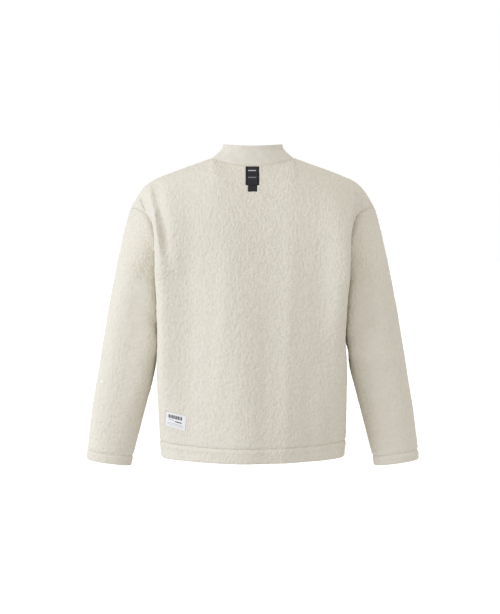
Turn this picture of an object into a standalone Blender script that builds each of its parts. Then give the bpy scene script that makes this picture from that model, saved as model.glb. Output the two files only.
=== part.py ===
"""A sherpa fleece pullover, filled out as if worn, hollow, with nobody inside.

Metres, +Z up. The front faces -Y, the back +Y, and the wearer's left is +X. The origin is the
middle of the neckline, level with the high shoulder points.

Each cut piece is a surface on a grid of rows and columns, given a wall on its inner side. Pieces
that are sewn together use the same points along their seam, and the same direction for the ends
of their walls, so that each seam is a straight slit of one width.
"""

import math

import bpy
import numpy as np

COLLECTION = "sherpa_fleece_pullover"

# Cloth and seams
FLEECE_WALL = 0.004  # the pile and its backing, and the folded collar knit alike
TAPE_WALL = 0.0009
SEAM_GAP = 0.0003
MITRE_LIMIT = 0.62  # at a sharp seam a rim is at most the wall over this
SEARCH_STEPS = 60  # steps that find the place under a trim on its panel

# Levels of the body
HEM_EDGE = -0.677
HEM_SEAM = -0.648
UNDERARM = -0.275
YOKE = -0.200  # where the sides begin to turn in over the shoulders
CENTRE_LIFT = 0.012  # how much higher a row lies at the centre than at the underarm
HEM_DIP = {1: 0.0055, -1: 0.003}  # how much lower the hem lies at the centre than at the sides
TUCK_REACH = 0.050  # how far back and forward the hollow beside the sleeve reaches

# Armhole
ARMHOLE_X = 0.215
ARMHOLE_HALF_DEPTH = 0.060
SHOULDER_TIP = (0.2765, -0.1115)
UNDERARM_X = 0.209
ARMHOLE_SWEEP = 0.68  # below 1, the seam swings out to the shoulder tip sooner

# Neck and collar
NECK_HALF_WIDTH = 0.0943
NECK_DEPTH = {1: 0.062, -1: 0.092}
NECK_DROP = {1: 0.016, -1: 0.069}
NECK_CURVE = {1: 2.0, -1: 2.3}  # more keeps the neck seam high for longer beside the shoulder
NECK_SLOPE = {1: math.radians(58), -1: math.radians(52)}
COLLAR_TOP_HALF_WIDTH = 0.0670
COLLAR_TOP_DEPTH = {1: 0.044, -1: 0.078}
COLLAR_TOP_SIDE = 0.032
COLLAR_TOP_CENTRE = {1: 0.0285, -1: -0.031}
COLLAR_FLARE = 1.8

# Grid sizes
NECK_COLUMNS = 7
SHOULDER_COLUMNS = 11
BODY_ROWS = 11
LOWER_ARMHOLE_ROWS = 6
UPPER_ARMHOLE_ROWS = 8
SLEEVE_ROWS = 19
COLLAR_ROWS = 5
HEM_ROWS = 2
CUFF_ROWS = 2
CALM_COLUMNS = 3  # columns beside an armhole over which the body's folds die away
BODY_DEPTH = 0.125  # half the depth of the body, for the way its folds stand out
FOLD_FREE_DEPTH = 0.085  # a fold has its full height this far behind or before the side seams
LINE_POINTS = 200  # points of a line from which evenly spaced ones are read
SHARP_EDGE = math.radians(50)  # the rims of the walls are shaded apart from their faces

BACK = 1
FRONT = -1


def table(columns, *rows):
    """Columns by name, from rows of numbers."""
    return dict(zip(columns.split(), np.array(rows, float).T, strict=True))


BODY = table(
    "level fold_half_width side_half_width back_depth front_depth squareness",
    (-0.690, 0.2085, 0.2080, 0.117, 0.112, 2.60),
    (-0.648, 0.2110, 0.2105, 0.120, 0.115, 2.70),
    (-0.560, 0.2130, 0.2125, 0.124, 0.119, 3.20),
    (-0.464, 0.2139, 0.2120, 0.127, 0.123, 3.80),
    (-0.400, 0.2118, 0.2070, 0.129, 0.126, 4.20),
    (-0.340, 0.2176, 0.2035, 0.130, 0.128, 3.90),
    (-0.300, 0.2246, 0.2045, 0.130, 0.129, 3.20),
    (-0.275, 0.2285, 0.2090, 0.1295, 0.130, 3.00),
    (-0.200, 0.2370, 0.2150, 0.1270, 0.1275, 3.00),
    (-0.150, 0.2400, 0.2200, 0.1270, 0.1275, 3.00),
)

SHOULDER = table(
    "out level",
    (0.0943, 0.0000),
    (0.1318, -0.0136),
    (0.1705, -0.0273),
    (0.2068, -0.0409),
    (0.2341, -0.0545),
    (0.2500, -0.0682),
    (0.2605, -0.0818),
    (0.2685, -0.0955),
    (0.2765, -0.1115),
)

# The sleeve's outer and inner edge, its half depth, how far it hangs forward, and its
# section's power: 2 is an ellipse, and more is squarer.
SLEEVE = table(
    "outer_x outer_z inner_x inner_z half_depth forward squareness",
    (0.2765, -0.1115, 0.2090, -0.2750, 0.0600, 0.000, 2.0),
    (0.2885, -0.1560, 0.2110, -0.2790, 0.0650, 0.000, 2.0),
    (0.2985, -0.2000, 0.2120, -0.2850, 0.0675, 0.000, 2.0),
    (0.3080, -0.2450, 0.2120, -0.2970, 0.0675, 0.001, 2.1),
    (0.3235, -0.3220, 0.2112, -0.3600, 0.0625, 0.004, 2.4),
    (0.3372, -0.4010, 0.2135, -0.4300, 0.0575, 0.008, 2.6),
    (0.3508, -0.4810, 0.2285, -0.5030, 0.0520, 0.011, 2.4),
    (0.3630, -0.5560, 0.2470, -0.5750, 0.0460, 0.015, 2.2),
    (0.3718, -0.6250, 0.2640, -0.6400, 0.0405, 0.019, 2.1),
    (0.3760, -0.6635, 0.2740, -0.6775, 0.0375, 0.021, 2.1),
    (0.3780, -0.6855, 0.2775, -0.7000, 0.0360, 0.022, 2.1),
)
SLEEVE_STATIONS = len(SLEEVE["outer_x"])
CUFF_SEAM = SLEEVE_STATIONS - 2
ARMHOLE_FADE = 3.0  # stations over which the armhole's bend turns into plain rings

# Long soft folds down the body: a ridge has a height above 0 and a trough below 0.
BODY_FOLDS = table(
    "face top_x top_z bottom_x bottom_z half_width height",
    (BACK, 0.200, 0.020, 0.199, -0.645, 0.022, 0.0100),
    (BACK, 0.143, 0.020, 0.142, -0.772, 0.040, -0.0100),
    (BACK, 0.060, 0.020, 0.005, -0.900, 0.048, 0.0100),
    (BACK, -0.124, -0.389, -0.128, -0.900, 0.022, -0.0053),
    (BACK, -0.142, -0.043, -0.198, -0.880, 0.043, -0.0090),
    (BACK, -0.200, -0.104, -0.193, -0.430, 0.024, 0.0085),
    (FRONT, -0.090, -0.170, -0.118, -0.620, 0.030, 0.0060),
    (FRONT, 0.012, -0.210, 0.026, -0.790, 0.030, -0.0070),
    (FRONT, 0.074, -0.160, 0.092, -0.740, 0.028, 0.0055),
    (FRONT, 0.158, -0.140, 0.140, -0.560, 0.024, -0.0065),
    (FRONT, -0.176, -0.120, -0.160, -0.480, 0.022, -0.0050),
)

# Short folds across the sleeves, by the angle round from the outer edge, the back being 90.
SLEEVE_FOLDS = table(
    "side angle spread station slant half_length height",
    (1, 150, 60, 4.35, 0.9, 0.26, -0.0045),
    (1, 215, 55, 5.00, -0.7, 0.30, -0.0050),
    (1, 95, 55, 5.60, 0.8, 0.34, 0.0035),
    (1, 250, 50, 5.75, -0.6, 0.30, 0.0035),
    (-1, 120, 60, 4.60, 0.7, 0.30, -0.0040),
    (-1, 95, 50, 5.35, -0.6, 0.34, 0.0045),
    (-1, 220, 55, 4.85, -0.8, 0.28, -0.0050),
    (-1, 255, 50, 5.55, -0.5, 0.30, 0.0035),
)

# What is sewn on the back: its middle across, its top and bottom level, its half width.
HANGER_TAPE = {"x": 0.0, "top": -0.0240, "bottom": -0.0745, "half_width": 0.0102}
NECK_PATCH = {"x": 0.0, "top": -0.0190, "bottom": -0.0600, "half_width": 0.0145}
HEM_LABEL = {"x": 0.1675, "top": -0.5710, "bottom": -0.6050, "half_width": 0.0240}
LABEL_LIFT = 0.0006  # it bridges the pile where the panel turns round to the side

COLOURS = {
    "fleece": ((0.72, 0.68, 0.60, 1.0), 0.95),
    "collar_knit": ((0.70, 0.66, 0.59, 1.0), 0.85),
    "black_tape": ((0.03, 0.03, 0.032, 1.0), 0.60),
    "white_label": ((0.85, 0.85, 0.84, 1.0), 0.60),
}


def smooth(knots, values, at):
    """A curve through the values: cubic between two knots, with its neighbours' slope at each."""
    at = np.clip(at, knots[0], knots[-1])
    slope = np.gradient(values, knots)
    i = np.clip(np.searchsorted(knots, at) - 1, 0, len(knots) - 2)
    step = knots[i + 1] - knots[i]
    t = (at - knots[i]) / step
    start = values[i] * (1 + 2 * t) + slope[i] * step * t
    end = values[i + 1] * (3 - 2 * t) + slope[i + 1] * step * (t - 1)
    return start * (1 - t) ** 2 + end * t**2


def body_at(column, level):
    return smooth(BODY["level"], BODY[column], level)


def resampled(points, fraction):
    """Points at fractions of the length of a line of points."""
    steps = np.linalg.norm(np.diff(points, axis=0), axis=1)
    along = np.concatenate([[0.0], np.cumsum(steps)])
    at = fraction * along[-1]
    return np.stack([np.interp(at, along, points[:, k]) for k in range(3)], axis=1)


def bump(distance, half_width):
    """A soft hump of height 1 that has died away at twice its half width."""
    return np.exp(-((distance / half_width) ** 2))


def armhole(angle):
    """The armhole seam of the left side: 0 at the shoulder tip, 90 degrees at the back."""
    rise = np.where(np.cos(angle) > 0, SHOULDER_TIP[1] - YOKE, YOKE - UNDERARM)
    swing = 1 - np.abs(np.sin(angle))
    upper = (SHOULDER_TIP[0] - ARMHOLE_X) * swing**ARMHOLE_SWEEP
    lower = (UNDERARM_X - ARMHOLE_X) * swing
    x = ARMHOLE_X + np.where(np.cos(angle) > 0, upper, lower)
    y = ARMHOLE_HALF_DEPTH * np.sin(angle)
    return np.stack([x, y, YOKE + rise * np.cos(angle)], axis=-1)


def level_row(face, side_point, centre_level, across):
    """One row of a panel, round the body from the centre (across 0) to the side (across 1)."""
    side_x, side_y, side_z = side_point
    width = body_at("fold_half_width", side_z)
    depth = body_at("back_depth" if face == BACK else "front_depth", centre_level)
    power = 2 / body_at("squareness", side_z)
    start = math.asin((side_y / depth) ** (1 / power))
    turn = np.linspace(start, math.pi / 2, LINE_POINTS)
    x = width * np.cos(turn) ** power
    y = depth * np.sin(turn) ** power
    x[-1] = 0.0
    tuck = np.exp((side_y / TUCK_REACH) ** 4 - (y / TUCK_REACH) ** 4)
    x = x - (x[0] - side_x) * tuck
    level = side_z + (centre_level - side_z) * np.sin(turn - start) ** 2
    return resampled(np.stack([x, face * y, level], axis=1), 1 - across)


def shoulder_line(fraction):
    """The shoulder seam, from the neck (0) to the shoulder tip (1)."""
    out = np.linspace(SHOULDER["out"][0], SHOULDER["out"][-1], LINE_POINTS)
    level = smooth(SHOULDER["out"], SHOULDER["level"], out)
    line = np.stack([out, np.zeros_like(out), level], axis=1)
    return resampled(line, fraction)


def neckline(face, quarter):
    """The neck seam of the left side, from the centre (0) to the shoulder seam (1)."""
    turn = quarter * math.pi / 2
    x = NECK_HALF_WIDTH * np.sin(turn)
    y = face * NECK_DEPTH[face] * np.cos(turn)
    return np.stack([x, y, -NECK_DROP[face] * np.cos(turn) ** NECK_CURVE[face]], axis=1)


def half_columns():
    """How far across each column of half a panel lies, from the centre to the side."""
    return np.linspace(0, 1, NECK_COLUMNS + SHOULDER_COLUMNS + 1)


def half_panel(face):
    """Rows of points from the hem seam up, each from the centre to the left side."""
    across = half_columns()
    rows = []
    for share in np.linspace(0, 1, BODY_ROWS + 1):
        level = HEM_SEAM + (UNDERARM - HEM_SEAM) * share
        side = (body_at("side_half_width", level), 0.0, level)
        centre = level + CENTRE_LIFT * share**2 - HEM_DIP[face] * (1 - share) ** 2
        rows.append(level_row(face, side, centre, across))
    for share in np.linspace(0, 1, LOWER_ARMHOLE_ROWS + 1)[1:]:
        side = armhole(math.pi * (1 - share / 2))
        centre = UNDERARM + (YOKE - UNDERARM) * share + CENTRE_LIFT
        rows.append(level_row(face, side, centre, across))
    base = rows[-1]
    neck = neckline(face, np.linspace(0, 1, NECK_COLUMNS + 1))
    seam = shoulder_line(np.linspace(0, 1, SHOULDER_COLUMNS + 1))
    top = np.concatenate([neck, seam[1:]])
    neck_share = np.clip(across / across[NECK_COLUMNS], 0, 1)
    end = NECK_SLOPE[face] + (math.pi / 2 - NECK_SLOPE[face]) * np.sin(neck_share * math.pi / 2) ** 2
    sweep = 1 + (ARMHOLE_SWEEP - 1) * across**2
    for share in np.linspace(0, 1, UPPER_ARMHOLE_ROWS + 1)[1:]:
        turn = share * end
        rise = np.sin(turn) / np.sin(end)
        come_in = (1 - np.cos(turn)) / (1 - np.cos(end))
        x = base[:, 0] + (top[:, 0] - base[:, 0]) * come_in**sweep
        y = base[:, 1] + (top[:, 1] - base[:, 1]) * come_in
        z = base[:, 2] + (top[:, 2] - base[:, 2]) * rise
        rows.append(np.stack([x, y, z], axis=1))
    return np.array(rows)


def whole_rows(half):
    """Rows of half a panel, with the right half added as its mirror image."""
    right = half[:, :0:-1] * (-1, 1, 1)
    return np.concatenate([right, half], axis=1)


def folded(points, strength=1.0):
    """Body points, moved out at the ridges and in at the troughs of the folds."""
    x, y, z = points[..., 0], points[..., 1], points[..., 2]
    width = body_at("fold_half_width", z)
    out = np.stack([x / width**2, y / BODY_DEPTH**2, np.zeros_like(x)], axis=-1)
    out /= np.maximum(np.linalg.norm(out, axis=-1, keepdims=True), 1e-9)
    height = np.zeros_like(x)
    for i in range(len(BODY_FOLDS["face"])):
        fold = {name: column[i] for name, column in BODY_FOLDS.items()}
        share = (z - fold["bottom_z"]) / (fold["top_z"] - fold["bottom_z"])
        line = fold["bottom_x"] + (fold["top_x"] - fold["bottom_x"]) * share
        fade = np.sin(np.clip(share, 0, 1) * math.pi)
        on_face = np.clip(fold["face"] * y / FOLD_FREE_DEPTH, 0, 1) ** 2
        height += fold["height"] * bump(x - line, fold["half_width"]) * fade * on_face
    return points + out * (height * strength)[..., None]


def panel_points(face):
    """A whole panel. Its folds die away at the armholes and the neck, whose points are shared."""
    points = whole_rows(half_panel(face))
    strength = np.ones(points.shape[:2])
    columns = np.arange(points.shape[1])
    from_edge = np.minimum(columns, columns[::-1])
    strength[BODY_ROWS:] = np.clip(from_edge / CALM_COLUMNS, 0, 1)
    strength[-1] = 0
    return folded(points, strength)


def hem_points():
    """Rows of the hem band from its edge up to its seam, all round, from the right side."""
    rows = []
    for share in np.linspace(0, 1, HEM_ROWS + 1):
        level = HEM_EDGE + (HEM_SEAM - HEM_EDGE) * share
        side = (body_at("side_half_width", level), 0.0, level)
        halves = [
            level_row(face, side, level - HEM_DIP[face], half_columns()) for face in (BACK, FRONT)
        ]
        back, front = (whole_rows(half[None])[0] for half in halves)
        rows.append(np.concatenate([back[:-1], front[:0:-1]]))
    return folded(np.array(rows))


def collar_points():
    """Rows of the collar from the neck seam up to its rim, all round, from the right side."""
    quarter = np.linspace(0, 1, NECK_COLUMNS + 1)
    turn = quarter * math.pi / 2
    rings = {}
    for face in (BACK, FRONT):
        drop = COLLAR_TOP_SIDE - COLLAR_TOP_CENTRE[face]
        x = COLLAR_TOP_HALF_WIDTH * np.sin(turn)
        y = face * COLLAR_TOP_DEPTH[face] * np.cos(turn)
        rim = np.stack([x, y, COLLAR_TOP_SIDE - drop * np.cos(turn) ** 2], axis=1)
        rings[face] = np.stack([neckline(face, quarter), rim])
    back, front = (whole_rows(rings[face]) for face in (BACK, FRONT))
    base, rim = np.concatenate([back[:, :-1], front[:, :0:-1]], axis=1)
    rows = []
    for share in np.linspace(0, 1, COLLAR_ROWS + 1):
        come_in = 1 - (1 - share) ** COLLAR_FLARE
        step = (rim - base) * (come_in, come_in, share)
        rows.append(base + step)
    return np.array(rows)


def sleeve_angles():
    """Angles round the sleeve, so that its first ring has the armhole's points."""
    upper = np.linspace(0, math.pi / 2, UPPER_ARMHOLE_ROWS + 1)
    lower = np.linspace(math.pi / 2, math.pi, LOWER_ARMHOLE_ROWS + 1)
    back = np.concatenate([upper, lower[1:]])
    return np.concatenate([back, 2 * math.pi - back[-2:0:-1]])


def sleeve_ring(station, angle):
    """A ring of the left sleeve: a squarish ellipse from its outer to its inner edge."""
    stations = np.arange(SLEEVE_STATIONS, dtype=float)
    at = {name: smooth(stations, column, station) for name, column in SLEEVE.items()}
    middle = np.array([at["outer_x"] + at["inner_x"], 0, at["outer_z"] + at["inner_z"]]) / 2
    half = np.array([at["outer_x"] - at["inner_x"], 0, at["outer_z"] - at["inner_z"]]) / 2
    power = 2 / at["squareness"]
    across = np.sign(np.cos(angle)) * np.abs(np.cos(angle)) ** power
    deep = np.sign(np.sin(angle)) * np.abs(np.sin(angle)) ** power
    ring = middle + np.outer(across, half)
    ring[:, 1] += at["half_depth"] * deep - at["forward"]
    return ring, middle - (0, at["forward"], 0)


def sleeve_fold_height(side, station, angle):
    height = np.zeros_like(angle)
    for i in range(len(SLEEVE_FOLDS["side"])):
        fold = {name: column[i] for name, column in SLEEVE_FOLDS.items()}
        if fold["side"] != side:
            continue
        round_from = np.degrees(angle) - fold["angle"]
        middle = fold["station"] + fold["slant"] * round_from / 100
        across = bump(station - middle, fold["half_length"])
        height += fold["height"] * across * bump(round_from, fold["spread"])
    return height


def sleeve_rows(side, first, last, count):
    """Rings of a sleeve between two stations of its table, in the frame of its own side."""
    angle = sleeve_angles()
    bend = armhole(angle) - sleeve_ring(0.0, angle)[0]
    rows = []
    for station in np.linspace(first, last, count + 1):
        ring, middle = sleeve_ring(station, angle)
        fade = np.clip(1 - station / ARMHOLE_FADE, 0, 1)
        ring = ring + bend * fade**2 * (3 - 2 * fade)
        out = ring - middle
        out /= np.linalg.norm(out, axis=1, keepdims=True)
        rows.append(ring + out * sleeve_fold_height(side, station, angle)[:, None])
    return np.array(rows) * (side, 1, 1)


def grid_normals(points, closed):
    """Unit normals of a grid of points, from the slopes along its rows and its columns."""
    if closed:
        along = np.roll(points, -1, axis=1) - np.roll(points, 1, axis=1)
    else:
        along = np.gradient(points, axis=1)
    normal = np.cross(along, np.gradient(points, axis=0))
    return normal / np.linalg.norm(normal, axis=2, keepdims=True)


def cloth(name, family, material, points, closed, middle, corners=((), ())):
    """A piece of cloth as a grid of outer points, with what the wall and the seams need.

    The corners are the rows and the columns where an edge goes from one seam to the next.
    """
    normals = grid_normals(points, closed)
    if (normals * (points - middle)).sum() < 0:
        normals = -normals
    return {
        "name": name,
        "family": family,
        "material": material,
        "points": points,
        "closed": closed,
        "normals": normals,
        "rim_normals": normals.copy(),
        "lean": np.ones(points.shape[:2]),
        "corners": corners,
    }


def edges(piece):
    """Each stretch of a piece's edge, as row and column numbers, with the way into the piece."""
    rows, columns = piece["points"].shape[:2]
    row_stops = [0, *piece["corners"][0], rows - 1]
    column_stops = [0, *piece["corners"][1], columns - 1]
    found = []
    for row, step in ((0, 1), (rows - 1, -1)):
        for first, last in zip(column_stops[:-1], column_stops[1:], strict=True):
            across = np.arange(first, last + 1)
            here = np.full_like(across, row)
            found.append((here, across, here + step, across))
    if not piece["closed"]:
        for column, step in ((0, 1), (columns - 1, -1)):
            for first, last in zip(row_stops[:-1], row_stops[1:], strict=True):
                up = np.arange(first, last + 1)
                here = np.full_like(up, column)
                found.append((up, here, up, here + step))
    return found


def share_seams(pieces):
    """Gives the pieces that meet at a seam one direction, and one length, for their rims.

    It is the mean of their normals, taken first within the body, a sleeve or the collar, and
    then between them. The rim is longer where the surfaces lean away from that direction.
    """
    meeting = {}
    for piece in pieces:
        for row, column in {spot for e in edges(piece) for spot in zip(e[0], e[1], strict=True)}:
            place = tuple(np.round(piece["points"][row, column], 5) + 0.0)
            meeting.setdefault(place, []).append((piece, row, column))
    for spots in meeting.values():
        families = {}
        for piece, row, column in spots:
            families.setdefault(piece["family"], []).append(piece["normals"][row, column])
        means = [unit(sum(normals)) for normals in families.values()]
        rim = unit(sum(means))
        lean = max(float(np.mean([rim @ mean for mean in means])), MITRE_LIMIT)
        for piece, row, column in spots:
            piece["rim_normals"][row, column] = rim
            piece["lean"][row, column] = lean


def unit(vectors):
    return vectors / np.linalg.norm(vectors, axis=-1, keepdims=True)


def parted(piece):
    """Outer points, with those on an edge drawn back by half the gap of a seam."""
    points = piece["points"]
    moved = points.copy()
    for rows, columns, next_rows, next_columns in edges(piece):
        line = points[rows, columns]
        whole_ring = piece["closed"] and len(line) == points.shape[1]
        if whole_ring:
            along = unit(np.roll(line, -1, axis=0) - np.roll(line, 1, axis=0))
        else:
            along = unit(np.gradient(line, axis=0))
        back = np.cross(along, piece["rim_normals"][rows, columns])
        weak = np.linalg.norm(back, axis=1) < MITRE_LIMIT
        back[weak] = np.cross(along, piece["normals"][rows, columns])[weak]
        back = unit(back)
        inside = points[next_rows, next_columns] - line
        back *= np.sign((back * inside).sum())
        moved[rows, columns] += back * SEAM_GAP / 2
    return moved


def shell(piece, wall):
    """A closed shell: the outer grid, the same grid one wall further in, and rims between."""
    outer = parted(piece)
    inner = outer - piece["rim_normals"] * wall / piece["lean"][..., None]
    rows, columns = outer.shape[:2]
    count = rows * columns
    number = np.arange(count).reshape(rows, columns)
    if piece["closed"]:
        number = np.concatenate([number, number[:, :1]], axis=1)
    corners = (number[:-1, :-1], number[:-1, 1:], number[1:, 1:], number[1:, :-1])
    quads = np.stack(corners, axis=-1).reshape(-1, 4)
    a, b, c, d = (outer.reshape(-1, 3)[quads[:, k]] for k in range(4))
    outward = piece["normals"].reshape(-1, 3)[quads[:, 0]]
    if (np.cross(b - a, c - b) * outward).sum() < 0:
        quads = quads[:, ::-1]
        a, b, c, d = d, c, b, a
    # Each quad is cut along its shorter diagonal.
    first = np.linalg.norm(c - a, axis=1) <= np.linalg.norm(d - b, axis=1)
    halves = [quads[first][:, k] for k in ([0, 1, 2], [0, 2, 3])]
    halves += [quads[~first][:, k] for k in ([0, 1, 3], [1, 2, 3])]
    triangles = np.concatenate(halves)
    faces = triangles.tolist() + (triangles[:, ::-1] + count).tolist()
    quads = quads.tolist()
    sides = {side for quad in quads for side in zip(quad, quad[1:] + quad[:1], strict=True)}
    flat = piece["points"].reshape(-1, 3)
    for start, end in sides:
        if (end, start) in sides:
            continue
        # Both pieces at a seam cut the rim's faces along the same diagonal, from its higher end.
        if tuple(np.round(flat[start, ::-1], 5)) > tuple(np.round(flat[end, ::-1], 5)):
            faces += [(end, start, count + end), (start, count + start, count + end)]
        else:
            faces += [(end, start, count + start), (end, count + start, count + end)]
    return np.concatenate([outer.reshape(-1, 3), inner.reshape(-1, 3)]), faces


def material_named(name):
    colour, roughness = COLOURS[name]
    material = bpy.data.materials.new(name)
    material.use_nodes = True
    shader = material.node_tree.nodes["Principled BSDF"]
    shader.inputs["Base Color"].default_value = colour
    shader.inputs["Roughness"].default_value = roughness
    shader.inputs["Metallic"].default_value = 0.0
    material.diffuse_color = colour
    return material


def add_object(name, vertices, faces, material, collection):
    mesh = bpy.data.meshes.new(name)
    mesh.from_pydata(vertices.tolist(), [], faces)
    mesh.validate()
    mesh.materials.append(material)
    mesh.shade_smooth()
    mesh.set_sharp_from_angle(angle=SHARP_EDGE)
    collection.objects.link(bpy.data.objects.new(name, mesh))


def between(values, row, column):
    """Values of a grid at places between its rows and columns."""
    row = np.clip(row, 0, values.shape[0] - 1.001)
    column = np.clip(column, 0, values.shape[1] - 1.001)
    i, j = row.astype(int), column.astype(int)
    t, u = (row - i)[..., None], (column - j)[..., None]
    below = values[i, j] * (1 - u) + values[i, j + 1] * u
    above = values[i + 1, j] * (1 - u) + values[i + 1, j + 1] * u
    return below * (1 - t) + above * t


def sewn_on(name, size, lift, rows, columns, material, panel):
    """A flat piece that lies on a panel: the panel's points under it, moved out."""
    x = np.linspace(size["x"] - size["half_width"], size["x"] + size["half_width"], columns + 1)
    z = np.linspace(size["bottom"], size["top"], rows + 1)
    x, z = np.meshgrid(x, z)
    points = panel["points"]
    across_step = np.abs(np.diff(points[..., 0], axis=1)).max()
    up_step = np.abs(np.diff(points[..., 2], axis=0)).max()
    row = np.full(x.shape, points.shape[0] / 2)
    column = np.full(x.shape, points.shape[1] / 2)
    for _ in range(SEARCH_STEPS):
        here = between(points, row, column)
        column = column + (x - here[..., 0]) / across_step
        row = row + (z - here[..., 2]) / up_step
    normals = unit(between(panel["normals"], row, column))
    top = between(points, row, column) + normals * (lift + TAPE_WALL)
    piece = cloth(name, name, material, top, False, np.zeros(3))
    piece["rim_normals"] = normals
    return piece


def body_pieces():
    inside = np.array([0.0, 0.0, -0.35])
    side_stops = (BODY_ROWS,)
    top_stops = (SHOULDER_COLUMNS, SHOULDER_COLUMNS + 2 * NECK_COLUMNS)
    panels = [
        cloth(name, "body", "fleece", panel_points(face), False, inside, (side_stops, top_stops))
        for name, face in (("back_panel", BACK), ("front_panel", FRONT))
    ]
    return [*panels, cloth("hem_band", "body", "fleece", hem_points(), True, inside)]


def sleeve_pieces(side, word):
    sleeve = sleeve_rows(side, 0.0, CUFF_SEAM, SLEEVE_ROWS)
    cuff = sleeve_rows(side, CUFF_SEAM, CUFF_SEAM + 1, CUFF_ROWS)
    family = f"sleeve_{word}"
    return [
        cloth(name, family, "fleece", points, True, points.mean(axis=1, keepdims=True))
        for name, points in ((family, sleeve), (f"cuff_{word}", cuff))
    ]


def build():
    for old in list(bpy.data.objects):
        bpy.data.objects.remove(old)
    collection = bpy.data.collections.new(COLLECTION)
    bpy.context.scene.collection.children.link(collection)
    materials = {name: material_named(name) for name in COLOURS}
    neck_middle = np.array([0.0, -0.02, 0.0])
    pieces = body_pieces()
    pieces += sleeve_pieces(1, "left")
    pieces += sleeve_pieces(-1, "right")
    pieces.append(cloth("collar", "collar", "collar_knit", collar_points(), True, neck_middle))
    share_seams(pieces)
    back = pieces[0]
    patch_lift = 2 * SEAM_GAP + TAPE_WALL
    trims = [
        sewn_on("hanger_tape", HANGER_TAPE, SEAM_GAP, 8, 4, "black_tape", back),
        sewn_on("neck_patch", NECK_PATCH, patch_lift, 6, 6, "black_tape", back),
        sewn_on("hem_label", HEM_LABEL, LABEL_LIFT, 4, 12, "white_label", back),
    ]
    walls = [(piece, FLEECE_WALL) for piece in pieces] + [(trim, TAPE_WALL) for trim in trims]
    for piece, wall in walls:
        vertices, faces = shell(piece, wall)
        material = materials[piece["material"]]
        add_object(piece["name"], vertices, faces, material, collection)


build()
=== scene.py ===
# %% [markdown]
# # A sherpa fleece pullover, filled out as if worn
#
# The pullover is cut from a knitted cloth with a curly cream pile and sewn with drop shoulders, a
# smooth stand collar, and a plain band at the hem and at each cuff. It keeps the shape of a wearer
# who isn't there. This lesson builds each cut piece as a surface worked out with numpy, gives it
# its pile, its seams and its inner side, and then sews on the tape, the patch and the label.

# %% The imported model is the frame
import math

import bpy
import numpy as np
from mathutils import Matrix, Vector


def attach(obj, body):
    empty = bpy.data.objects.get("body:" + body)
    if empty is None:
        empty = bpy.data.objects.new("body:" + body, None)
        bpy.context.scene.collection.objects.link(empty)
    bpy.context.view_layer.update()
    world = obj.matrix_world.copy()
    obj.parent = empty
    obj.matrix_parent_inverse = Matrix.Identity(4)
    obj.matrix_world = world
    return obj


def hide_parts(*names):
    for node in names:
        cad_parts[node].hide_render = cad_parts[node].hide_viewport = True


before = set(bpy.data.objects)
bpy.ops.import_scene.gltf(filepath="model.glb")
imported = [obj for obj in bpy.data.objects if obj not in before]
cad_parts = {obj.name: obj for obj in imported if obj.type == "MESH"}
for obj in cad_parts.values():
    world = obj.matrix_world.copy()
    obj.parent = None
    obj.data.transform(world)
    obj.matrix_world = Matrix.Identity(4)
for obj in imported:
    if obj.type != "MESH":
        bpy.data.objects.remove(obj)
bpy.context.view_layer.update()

# %% [markdown]
# ## The cut
#
# A pattern maker starts from a few measures. Here the body is a stack of rounded rings, the
# sleeves are rings between an outer and an inner edge, and the neck and the armholes are curves.
# Every seam is one function, so two pieces that are sewn together get the very same points.

# %% Measures of the body, the armholes and the neck, in metres
BACK = 1
FRONT = -1
HEM_EDGE = -0.675
HEM_SEAM = -0.6375
UNDERARM = -0.275
YOKE = -0.2
CENTRE_LIFT = 0.012
HEM_DIP = {BACK: 0.0065, FRONT: 0.003}
EDGE_DIP = 0.003
TUCK_REACH = 0.05
ARMHOLE_X = 0.2125
ARMHOLE_HALF_DEPTH = 0.06
SHOULDER_TIP = (0.2765, -0.1115)
UNDERARM_X = 0.209
ARMHOLE_SWEEP = 0.95
NECK_HALF_WIDTH = 0.0943
NECK_DEPTH = {BACK: 0.062, FRONT: 0.092}
NECK_DROP = {BACK: 0.016, FRONT: 0.069}
NECK_CURVE = {BACK: 2.0, FRONT: 2.3}
NECK_SLOPE = {BACK: math.radians(58), FRONT: math.radians(52)}
COLLAR_TOP_HALF_WIDTH = 0.067
COLLAR_TOP_DEPTH = {BACK: 0.044, FRONT: 0.078}
COLLAR_TOP_SIDE = 0.032
COLLAR_TOP_CENTRE = {BACK: 0.0285, FRONT: -0.031}
COLLAR_FLARE = 1.8
BODY_DEPTH = 0.125
LINE_POINTS = 400  # on a line before it is divided into columns


def table(columns, *rows):
    """Columns by name, from rows of numbers."""
    return dict(zip(columns.split(), np.array(rows, float).T, strict=True))


def listed(columns, *rows):
    """Rows with their numbers by name."""
    return [dict(zip(columns.split(), row, strict=True)) for row in rows]


BODY = table(
    "level fold_half_width side_half_width back_depth front_depth squareness right_back",
    (-0.69, 0.2085, 0.208, 0.1125, 0.112, 2.6, 2.6),
    (-0.648, 0.211, 0.2105, 0.1175, 0.115, 2.7, 2.7),
    (-0.56, 0.213, 0.2125, 0.1235, 0.119, 4.2, 4.2),
    (-0.464, 0.2135, 0.212, 0.127, 0.123, 5.6, 5.8),
    (-0.4, 0.209, 0.207, 0.129, 0.126, 6.4, 7.2),
    (-0.34, 0.2097, 0.2035, 0.13, 0.128, 7.0, 8.4),
    (-0.3, 0.2107, 0.2045, 0.13, 0.129, 7.0, 9.0),
    (-0.275, 0.2136, 0.209, 0.1295, 0.13, 7.0, 9.4),
    (-0.2, 0.2165, 0.2125, 0.127, 0.1275, 6.6, 9.6),
    (-0.15, 0.2205, 0.216, 0.127, 0.1275, 6.0, 9.0),
)

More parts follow.
